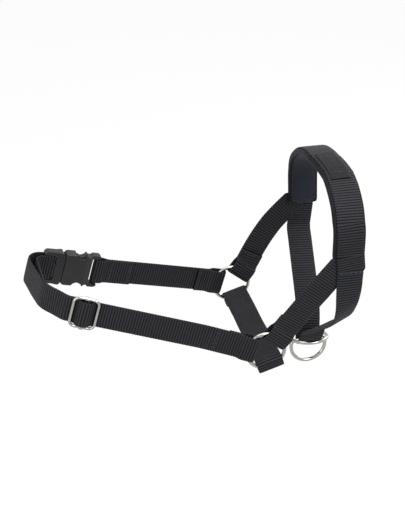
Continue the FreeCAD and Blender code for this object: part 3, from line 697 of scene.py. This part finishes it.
def pad_body(half, crown):
    """The stuffed body: outer cloth on the webbing's side, lining swelling inwards."""
    s = np.linspace(-PAD_HALF + 0.9, PAD_HALF - 0.9, 150)
    v = np.sin(np.linspace(-pi / 2, pi / 2, 25))
    near_end = np.clip((PAD_HALF - np.abs(s)) / 7.0, 0, 1)
    ends = np.sqrt(np.clip(1 - (1 - near_end) ** 2, 0, 1))
    sides = np.sqrt(np.clip(1 - np.abs(v) ** 3.2, 0, 1))
    ripple = 0.05 * np.outer(np.sin(s * 0.9), 1 - v ** 2)
    inner = -1.15 - crown * np.outer(0.25 + 0.75 * ends, 0.25 + 0.75 * sides) + ripple
    outer = 0.7 + 1.65 * np.outer(ends ** 0.4, sides ** 0.6)
    grid_s, grid_x = np.meshgrid(s, (half - 1.0) * v, indexing="ij")
    top, low = arch_point(grid_s, grid_x, outer), arch_point(grid_s, grid_x, inner)
    return loft(np.concatenate([top, low[:, ::-1]], 1))


def rounded(half_x, half_y, corner):
    """A rounded rectangle's course, from the middle of its lower side."""
    course = Course(0, -half_y, 0).go(half_x - corner)
    for side in (half_y, half_x, half_y):
        course.turn(corner, 90).go(2 * (side - corner))
    return course.turn(corner, 90).go(half_x - corner)


def pad_edge(half):
    """Runs round the pad's edge, and a function of how far in and how far out of the pad to go."""
    edge = np.array(rounded(PAD_HALF - BINDING_INSET, half - BINDING_INSET, 3.2).points)
    edge = edge[moving(edge[:, :2])][:-1]
    run = run_of(edge[:, :2])
    step = np.arange(0, run[-1], 0.8)
    s, x, heading = at_run(step, run, edge).T
    heading = np.radians(heading)

    def at(into, r):
        return arch_point(s - np.sin(heading) * into, x + np.cos(heading) * into, r)

    return step, at


# the binding tape's section: how far in from the pad's edge, and how far out of its middle surface
TAPE_SECTION = ((3.3, 2.36), (2.2, 2.44), (0.9, 2.40), (0.15, 1.7), (-0.05, 0.5), (-0.02, -0.7),
                (0.25, -1.8), (1.0, -2.45), (2.1, -2.62), (3.1, -2.5), (3.15, -2.05),
                (1.6, -1.9), (0.9, -1.3), (0.6, 0.0), (0.8, 1.4), (1.8, 1.9), (3.2, 1.95))


class HALTER_OT_pad(bpy.types.Operator):
    """Stuff the nose pad, line it and bind its edges"""
    bl_idname = "halter.pad"
    bl_label = "Nose pad"

    def execute(self, context):
        pad = context.scene.halter_pad
        half = pad.width / MM / 2
        points, faces = pad_body(half, pad.crown / MM)
        body = mesh_object("pad_cushion", points, faces, knit(), "nose_band")
        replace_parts(body, "pad_foam", "pad_lining")

        # the tape is folded over the edge all the way round, and waves where it is stitched
        step, at = pad_edge(half)
        wave = 0.06 * np.sin(step * 2 * pi / 2.7)
        sections = [at(into + (wave if into > 2 else 0), r + wave * 0.6) for into, r in TAPE_SECTION]
        points, faces = loft(np.stack(sections, 1), closed=True)
        m = len(TAPE_SECTION)
        coords = np.stack([np.repeat(step, m), np.tile(np.arange(m) * 1.1, len(step)),
                           np.zeros(m * len(step))], 1)
        binding = mesh_object("pad_edge_tape", points, faces, tape(), "nose_band",
                              run=coords)
        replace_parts(binding, "pad_binding")

        rows = []
        for into, r, out in ((2.7, 2.42, 1), (2.6, -2.6, -1)):
            line, above = [np.concatenate([p, p[:1]]) for p in (at(into, r), at(into, r + out))]
            rows.append((line, unit(above - line)))
        stitches("pad_edge_stitches", rows, "nose_band")
        return {"FINISHED"}


class HALTER_OT_label(bpy.types.Operator):
    """Sew the bare woven label on the nose strap"""
    bl_idname = "halter.label"
    bl_label = "Label"

    def execute(self, context):
        radius = CROWN_RADIUS + 0.32
        first, last = 64.0, 88.5                 # degrees up from the right
        seam = 6.7
        middle = np.array((0, 0, CROWN_Z))
        y, z = -radius * cos(radians(first)), CROWN_Z + radius * sin(radians(first))
        course = Course(y, z, 90 - first).turn(radius, first - last)
        centre, along, across = course.placed((0, 0, 0), AXES[1], AXES[2])
        line = (lean(centre), along, across)
        piece = strap("label_patch", line, "nose_band", width=15, thick=0.42, ribs=0,
                      material=woven_label())
        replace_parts(piece, "label")
        rows = []
        for x in (-seam, seam):
            row = centre[1:-1] + x * AXES[0]
            rows.append((lean(row), unit(row - middle - x * AXES[0])))
        for k in (1, -2):
            row = centre[k] + np.outer((-seam, seam), AXES[0])
            rows.append((lean(row), np.tile(unit(centre[k] - middle), (2, 1))))
        stitches("label_stitches", rows, "nose_band", length=1.5, gap=0.7, radius=0.13, lift=0.2)
        return {"FINISHED"}


def trim(piece, cuts):
    """Cut a closed piece by planes and cap it; each cut is (point, outward normal), in mm."""
    bm = bmesh.new()
    bm.from_mesh(piece.data)
    for point, normal in cuts:
        cut = bmesh.ops.bisect_plane(
            bm, geom=bm.verts[:] + bm.edges[:] + bm.faces[:], plane_co=Vector(point) * MM,
            plane_no=Vector(normal), clear_outer=True)
        edges = [g for g in cut["geom_cut"] if isinstance(g, bmesh.types.BMEdge)]
        bmesh.ops.holes_fill(bm, edges=edges, sides=0)
    bm.to_mesh(piece.data)
    bm.free()


CHEEK_BOW = {1: (4.0, 1.0), -1: (1.5, 1.5)}  # mm at half way, and farther on towards the pad
CHEEK_TUCK = 9                  # the cheek straps go this far up behind the pad's ends


def cheek_line(side):
    rise = radians(51)
    along, up = np.array((cos(rise), 0, sin(rise))), np.array((-sin(rise), 0, cos(rise)))
    seat = ARCH_HALF - 2 * HALF_PLY - 0.1 - HALF_PLY - SPREAD
    back = -RING_CENTRE[0] - HALF_WEB
    yaw = degrees(atan2(seat, back / cos(rise) - LOOP_MIDDLE))
    ease = 40
    course = ring_end(-1, yaw).go(20)
    course.go((seat - course.y) / sin(radians(yaw)) - ease * tan(radians(yaw) / 2))
    course.turn(ease, -yaw).go(30)
    centre, along, across = course.placed(RING_CENTRE + AXES[1] * side * SPREAD, along, AXES[1] * side)
    # it bows up and back between the ring and the pad
    t = np.clip((centre[:, 0] - RING_CENTRE[0] - 12) / 44, 0, 1.3)
    middle, end = CHEEK_BOW[side]
    bow = middle * np.sin(pi * np.minimum(t, 1)) + end * t * t
    return centre + np.outer(bow, up), along, across


class HALTER_OT_cheek_straps(bpy.types.Operator):
    """Weave the two cheek straps, from the rings to the inside of the nose band"""
    bl_idname = "halter.cheek_straps"
    bl_label = "Cheek straps"

    def execute(self, context):
        for name, side in (("left", 1), ("right", -1)):
            line = cheek_line(side)
            piece = strap("cheek_webbing_" + name, line, "nose_band")
            trim(piece, [((HALF_WEB + 1, 0, 0), AXES[0]), ((0, 0, CHEEK_TUCK - PAD_DROP), AXES[2])])
            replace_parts(piece, "cheek_strap_" + name)
            stitches("cheek_tacks_" + name, ring_tacks(line, -side), "nose_band")
        return {"FINISHED"}


class HALTER_OT_chin_strap(bpy.types.Operator):
    """Weave the chin strap, looped on the lowest part of both cheek rings"""
    bl_idname = "halter.chin_strap"
    bl_label = "Chin strap"

    def execute(self, context):
        drop = radians(-73)
        down = np.array((cos(drop), 0, sin(drop)))
        sewn, sag = 16, 12.0
        clear = WIRE / 2 + RING_PLAY + HALF_PLY
        lower = LOOP_CLEAR + HALF_PLY
        wall = lower - FOLD_INSIDE - 2 * LOOP_RADIUS
        join = lower - FOLD_INSIDE - DOUBLE
        loop_end = SPREAD - clear - 1
        sewn_end = loop_end - shift_run(join) - sewn
        reach = SPREAD + clear - LOOP_RADIUS
        course = Course(-sewn_end, FOLD_INSIDE + DOUBLE, 180).go(sewn).shift(-join)
        course.go(reach - loop_end).turn(LOOP_RADIUS, 90).go(wall).turn(LOOP_RADIUS, 90)
        course.go(reach - sewn_end)
        span = sewn_end / sin(radians(sag)) / 2
        course.turn(span, sag).turn(span, -2 * sag).turn(span, sag).go(reach - sewn_end)
        course.turn(LOOP_RADIUS, 90).go(wall).turn(LOOP_RADIUS, 90).go(reach - loop_end)
        course.shift(join).go(sewn)
        piece = strap("chin_webbing", course.placed(RING_CENTRE, AXES[1], down), "chin_strap")
        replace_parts(piece, "chin_strap")
        return {"FINISHED"}


SLIDER_AT, BUCKLE_AT = 135.5, 114.1          # along the neck straps from the rings
BUCKLE_LENGTH = 45.6
BUCKLE_BEND = 3.0               # a ply's middle round the buckle's bars
BUCKLE_GAP = 0.3
SLIDER_WIRE = 1.15              # radius
SLIDER_PLAY = 0.15
SLIDER_HALF, SLIDER_HIGH = 9.1, 11.7         # the frame's middle line, along and across the strap


def neck_axes(yaw):
    """Directions along a neck strap that turns by yaw degrees, off its right face and across it."""
    a = radians(yaw)
    along = NECK_ALONG * cos(a) + AXES[1] * sin(a)
    out = NECK_ALONG * sin(a) - AXES[1] * cos(a)
    return along, out, np.cross(along, out)


def neck_point(u, y):
    """A point u back from the rings' line and y in from the right ring."""
    return RING_CENTRE + NECK_ALONG * u + AXES[1] * (y - SPREAD)


def slider_centre():
    yaw = radians(RIGHT_YAW)
    return SLIDER_AT + PLY * sin(yaw), (SLIDER_AT - LOOP_MIDDLE) * tan(yaw) - PLY * cos(yaw)


def buckle_axis(distance):
    u = BUCKLE_AT + distance * cos(radians(LEFT_YAW))
    return u, 2 * SPREAD + (u - LOOP_MIDDLE) * tan(radians(LEFT_YAW))


def between_bends(a, ra, b, rb):
    """Heading and length of the straight run from a bend round a to one round b."""
    dx, dy = b[0] - a[0], b[1] - a[1]
    d = hypot(dx, dy)
    return degrees(atan2(dy, dx) - asin((rb - ra) / d)), sqrt(d * d - (rb - ra) ** 2)


def eased(points):
    """The right half of the neck band rides a little higher towards the back."""
    rise = np.interp(-points[:, 0], (58, 72, 100, 190, 230), (0, 0.35, 0.9, 1, 0.8))
    return points + np.outer(2.9 * rise * np.clip(0.3 - points[:, 1] / 30, 0, 1), AXES[2])


def right_neck_lines():
    """The band under the slider and round to the plug, its crest over the slider's bar, its end."""
    yaw, far_yaw = radians(RIGHT_YAW), radians(-LEFT_YAW)
    bend, slope = 4, 45
    seat = HALF_PLY + SLIDER_PLAY + SLIDER_WIRE           # from a ply's middle to the bar's
    height = 2 * (seat + HALF_PLY) + SLIDER_PLAY
    climb = (height - 2 * bend * (1 - cos(radians(slope)))) / sin(radians(slope))
    wave = 2 * bend * sin(radians(slope)) + climb * cos(radians(slope))
    crest = 2 * max(SLIDER_HALF - wave, 0)
    course = ring_end(1, RIGHT_YAW)
    course.go((slider_centre()[0] - course.x) / cos(yaw) - wave - crest / 2)
    over = Course(course.x, course.y, RIGHT_YAW)
    over.turn(bend, -slope).go(climb).turn(bend, slope).go(crest)
    over.turn(bend, slope).go(climb).turn(bend, -slope)
    course.go(2 * wave + crest + 2 * SLIDER_WIRE)
    # a sharp turn behind the slider, then two bends at the nape, the far one ending at the plug
    leave, kink, reach, near_r = 46, 8.0, 12.0, 24.0
    course.turn(kink, leave - RIGHT_YAW).go(reach)
    near = (course.x - near_r * sin(radians(leave)), course.y + near_r * cos(radians(leave)))
    plug = buckle_axis(BUCKLE_LENGTH + BUCKLE_GAP)
    far_r = NECK_REACH - HALF_PLY - plug[0] - BUCKLE_BEND * sin(far_yaw)
    far_r /= 1 - sin(far_yaw)
    inner_r = far_r - 2 * BUCKLE_BEND
    far = [c - (far_r - BUCKLE_BEND) * k for c, k in zip(plug, (sin(far_yaw), cos(far_yaw)))]
    outer, outer_run = between_bends(near, near_r, far, far_r)
    inner, inner_run = between_bends(near, near_r - DOUBLE, far, inner_r)
    last, tongue = 180 + LEFT_YAW, 5.9
    course.turn(near_r, outer - leave).go(outer_run).turn(far_r, last - outer).go(tongue)
    course.turn(BUCKLE_BEND, 180).go(tongue).turn(inner_r, inner - last).go(inner_run)
    end = Course(course.x, course.y, course.heading)
    end.turn(near_r - DOUBLE, leave - inner).go(reach).turn(kink - DOUBLE, RIGHT_YAW - leave)
    end.go(2 * SLIDER_WIRE + wave + crest / 2 - shift_run(DOUBLE, bend))
    end.shift(DOUBLE, bend).turn(seat, 255)
    lines = [line.placed(neck_point(0, 0), NECK_ALONG, AXES[1]) for line in (course, over, end)]
    return [(eased(centre), along, across) for centre, along, across in lines]


def left_neck_line():
    course = ring_end(-1, LEFT_YAW)
    start = LOOP_CLEAR + shift_run(LOOP_RADIUS - PLY) - LOOP_MIDDLE
    shift = BUCKLE_BEND - PLY
    bar = (BUCKLE_AT - LOOP_MIDDLE) / cos(radians(LEFT_YAW))
    course.go(bar - BUCKLE_GAP - shift_run(shift) - start).shift(shift).go(2.1)
    course.turn(BUCKLE_BEND, -180).go(2.1).shift(-shift).go(20)
    return course.placed(neck_point(0, 2 * SPREAD), NECK_ALONG, AXES[1])


class HALTER_OT_neck_straps(bpy.types.Operator):
    """Weave the neck band: the left strap to the buckle, the right one reeved over the slider"""
    bl_idname = "halter.neck_straps"
    bl_label = "Neck straps"

    def execute(self, context):
        band, over, end = right_neck_lines()
        right = strap("neck_webbing_right", band, None)
        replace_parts(right, "neck_strap_right")
        strap("neck_webbing_crest", over, "slider")
        tail = strap("neck_webbing_end", end, None)
        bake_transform(right)
        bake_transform(tail)
        stitches("neck_tacks_right", ring_tacks(band, 1), "neck_band")
        line = left_neck_line()
        left = strap("neck_webbing_left", line, "neck_band")
        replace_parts(left, "neck_strap_left")
        ends = resampled(line, 0.5)[3][-1] - np.array((2, 3.2, 17, 18.2))
        rows = ring_tacks(line, -1) + cross_rows(line, ends, -1)
        stitches("neck_tacks_left", rows, "neck_band")
        return {"FINISHED"}


def circle(centre, radius, ex, ey, n=120):
    a = np.linspace(0, 2 * pi, n, endpoint=False)[:, None]
    return np.asarray(centre) + radius * (np.cos(a) * ex + np.sin(a) * ey)


class HALTER_OT_rings(bpy.types.Operator):
    """Bend the cheek rings, the slide ring and the lead ring from nickel wire"""
    bl_idname = "halter.rings"
    bl_label = "Rings"

    def execute(self, context):
        for name, side in (("left", 1), ("right", -1)):
            centre = RING_CENTRE + AXES[1] * side * SPREAD
            piece = wire("ring_" + name, circle(centre, RING_RADIUS, AXES[0], AXES[2]), WIRE / 2,
                         "cheek_ring_" + name, seam=13)
            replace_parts(piece, "cheek_ring_" + name)
        tilt = radians(12)
        across = np.array((0, cos(tilt), -sin(tilt)))
        centre = LEAD_BAR + AXES[2] * 2.4 + LEAD_SET
        piece = wire("ring_slide", circle(centre, RING_RADIUS, AXES[0], across), WIRE / 2,
                     "slide_ring", seam=22)
        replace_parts(piece, "slide_ring")

        course = Course(0, 0, 180).go(11).turn(3, 90).go(2.5)
        course.turn(14, 180).go(2.5).turn(3, 90).go(11)
        line = course.placed(LEAD_BAR + LEAD_SET, AXES[0], AXES[2])
        centre = resampled(line, 0.7)[0][:-1]
        piece = wire("ring_lead", centre, LEAD_WIRE, "lead_ring", seam=4)
        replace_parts(piece, "lead_ring")
        return {"FINISHED"}


class HALTER_OT_slider(bpy.types.Operator):
    """Bend the slide adjuster's frame and weld in its centre bar"""
    bl_idname = "halter.slider"
    bl_label = "Slide adjuster"

    def execute(self, context):
        along, out, across = neck_axes(RIGHT_YAW)
        centre = neck_point(*slider_centre()) + out * (SLIDER_WIRE + SLIDER_PLAY + HALF_PLY)
        centre = eased(centre[None])[0]
        course = rounded(SLIDER_HALF, SLIDER_HIGH, 4)
        line = resampled(course.placed(centre, along, across), 0.5)[0][:-1]
        piece = wire("slider_loop", line, SLIDER_WIRE, "slider", seam=3)
        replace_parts(piece, "slider_frame")
        line = centre + np.outer(np.linspace(-SLIDER_HIGH, SLIDER_HIGH, 60), across)
        bar = wire("slider_crossbar", line, SLIDER_WIRE, "slider", closed=False)
        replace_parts(bar, "slider_bar")
        # the bar's ends are curled round the frame
        for name, side in (("top", -1), ("low", 1)):
            line = np.outer((-1.5, -1.35, -0.9, 0.9, 1.35, 1.5), along)
            line += centre + side * SLIDER_HIGH * across
            wire("slider_curl_" + name, line, 1.85, "slider", closed=False)
        return {"FINISHED"}


def latch_arm(name, side):
    """An arm from its root in the plug to a head that follows the window's scallop."""
    head, tip, root = 13.2, 19.6, 28.5           # along the buckle: the head's ends, the arm's root
    middle, grip = (head + tip) / 2, 1.3         # the scallop's middle, and the pitch of its ribs
    x = np.linspace(head, tip, 33)
    scallop = 10.85 + 3.4 * ((x - middle) / 4.5) ** 2
    outer = np.minimum(scallop + 0.18 * np.cos((x - middle) * 2 * pi / grip), 12.9)
    outline = [(root, 7.6), (21.6, 7.6), (head, 8.4), (11.6, 9.2), (11.4, 9.9)]
    outline += list(zip(x, outer)) + [(tip, 10.2), (21.6, 9.6), (root, 9.6)]
    outline += [(root + 1.4 * cos(a), 8.6 + 1.4 * sin(a)) for a in np.linspace(pi / 2, -pi / 2, 9)[1:-1]]
    plan = np.array(outline)
    along, out, across = neck_axes(LEFT_YAW)
    sections = []
    for depth, k in ((-2.4, 0.97), (-2.2, 1.0), (2.2, 1.0), (2.4, 0.97)):
        u, v = (plan.mean(0) + (plan - plan.mean(0)) * k).T
        sections.append(neck_point(*buckle_axis(0)) + np.outer(u, along) + out * depth
                        + np.outer(side * v, across))
    points, faces = loft(np.array(sections))
    return mesh_object("latch_" + name, points, faces, moulded(), "latch_arm_" + name,
                       smooth=False)


class HALTER_OT_buckle(bpy.types.Operator):
    """Give the buckle's mouldings their finish"""
    bl_idname = "halter.buckle"
    bl_label = "Buckle"

    def execute(self, context):
        for node in ("buckle_housing", "buckle_plug"):
            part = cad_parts[node]
            part.data.materials.clear()
            part.data.materials.append(moulded())
        for name, side in (("upper", 1), ("lower", -1)):
            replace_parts(latch_arm(name, side), "latch_arm_" + name)
        return {"FINISHED"}


# ---- stage -----------------------------------------------------------------------------------
def lamp(name, place, target, size, power):
    light = bpy.data.lights.new(name, "AREA")
    light.shape = "DISK"
    light.size = size
    light.energy = power
    hung = linked(name, light)
    hung.location = place
    hung.rotation_euler = (Vector(target) - Vector(place)).to_track_quat("-Z", "Y").to_euler()


class HALTER_OT_stage(bpy.types.Operator):
    """Set up the floor, the soft lamps and the camera"""
    bl_idname = "halter.stage"
    bl_label = "Stage"

    def execute(self, context):
        scene = context.scene
        stage = scene.halter_stage
        scene.view_settings.view_transform = "Standard"

        def pale(on):
            glow = on.add("Emission", {"Color": (1, 1, 1, 1)}).outputs[0]
            seen = on.math("MULTIPLY", on.background_seen(), 0.93)
            lit = on.nodes["Principled BSDF"].outputs[0]
            mix = on.add("MixShader", {"Fac": seen, 1: lit, 2: glow})
            on.put(on.nodes["Material Output"].inputs, {"Surface": mix.outputs[0]})
            return {"Base Color": (0.86, 0.86, 0.86, 1), "Roughness": 0.9}

        mesh = bpy.data.meshes.new("floor")
        corners = [(-4, -4), (4, -4), (4, 4), (-4, 4)]
        mesh.from_pydata([(x, y, stage.floor) for x, y in corners], [], [(0, 1, 2, 3)])
        mesh.materials.append(finish("floor_pale", pale))
        linked("floor", mesh)

        world = bpy.data.worlds.new("studio")
        scene.world = world
        world.use_nodes = True
        on = Shading(world.node_tree)
        strength = on.math("MULTIPLY_ADD", on.background_seen(), 0.55, 0.45)
        on.put(on.nodes["Background"].inputs, {"Color": (1, 1, 1, 1), "Strength": strength})

        b = stage.brightness
        middle = (-0.08, 0, -0.09)
        lamp("key_lamp", (0.35, -0.75, 0.75), middle, 0.9, 13 * b)
        lamp("fill_lamp", (-0.9, -0.55, 0.25), middle, 1.0, 5 * b)
        lamp("top_lamp", (-0.1, 0.15, 0.95), middle, 1.1, 8 * b)
        lamp("rim_lamp", (0.75, 0.55, 0.25), (-0.05, 0, -0.09), 0.7, 4 * b)

        camera = bpy.data.cameras.new("camera")
        camera.lens = stage.lens
        camera.clip_end = 20
        eye = linked("camera", camera)
        aim, distance = Vector((-0.090, 0, -0.069)), 0.83867
        back_way = Vector((-0.1995, -0.8559, 0.4772)).normalized()
        eye.location = aim + distance * back_way
        eye.rotation_euler = (-back_way).to_track_quat("-Z", "Y").to_euler()
        scene.camera = eye
        return {"FINISHED"}


class HALTER_PT_sidebar(bpy.types.Panel):
    bl_label = "Head halter"
    bl_idname = "HALTER_PT_sidebar"
    bl_space_type = "VIEW_3D"
    bl_region_type = "UI"
    bl_category = "Halter"

    def draw(self, context):
        for name, settings in SETTINGS.items():
            box = self.layout.box()
            for size_or_colour in settings.__annotations__:
                box.prop(getattr(context.scene, name), size_or_colour)
        for operator in OPERATORS:
            self.layout.operator(operator.bl_idname)


SETTINGS = {
    "halter_webbing": WebbingSettings, "halter_pad": PadSettings,
    "halter_metal": MetalSettings, "halter_stage": StageSettings,
}
OPERATORS = (
    HALTER_OT_nose_strap, HALTER_OT_pad, HALTER_OT_label, HALTER_OT_cheek_straps,
    HALTER_OT_chin_strap, HALTER_OT_neck_straps, HALTER_OT_rings, HALTER_OT_slider,
    HALTER_OT_buckle, HALTER_OT_stage,
)
CLASSES = (*SETTINGS.values(), *OPERATORS, HALTER_PT_sidebar)


def register():
    for each in CLASSES:
        bpy.utils.register_class(each)
    for name, settings in SETTINGS.items():
        setattr(bpy.types.Scene, name, PointerProperty(type=settings))


def unregister():
    for name in SETTINGS:
        delattr(bpy.types.Scene, name)
    for each in reversed(CLASSES):
        bpy.utils.unregister_class(each)


def main():
    register()
    for operator in OPERATORS:
        getattr(bpy.ops.halter, operator.bl_idname.split(".")[1])()


if __name__ == "__main__":
    main()
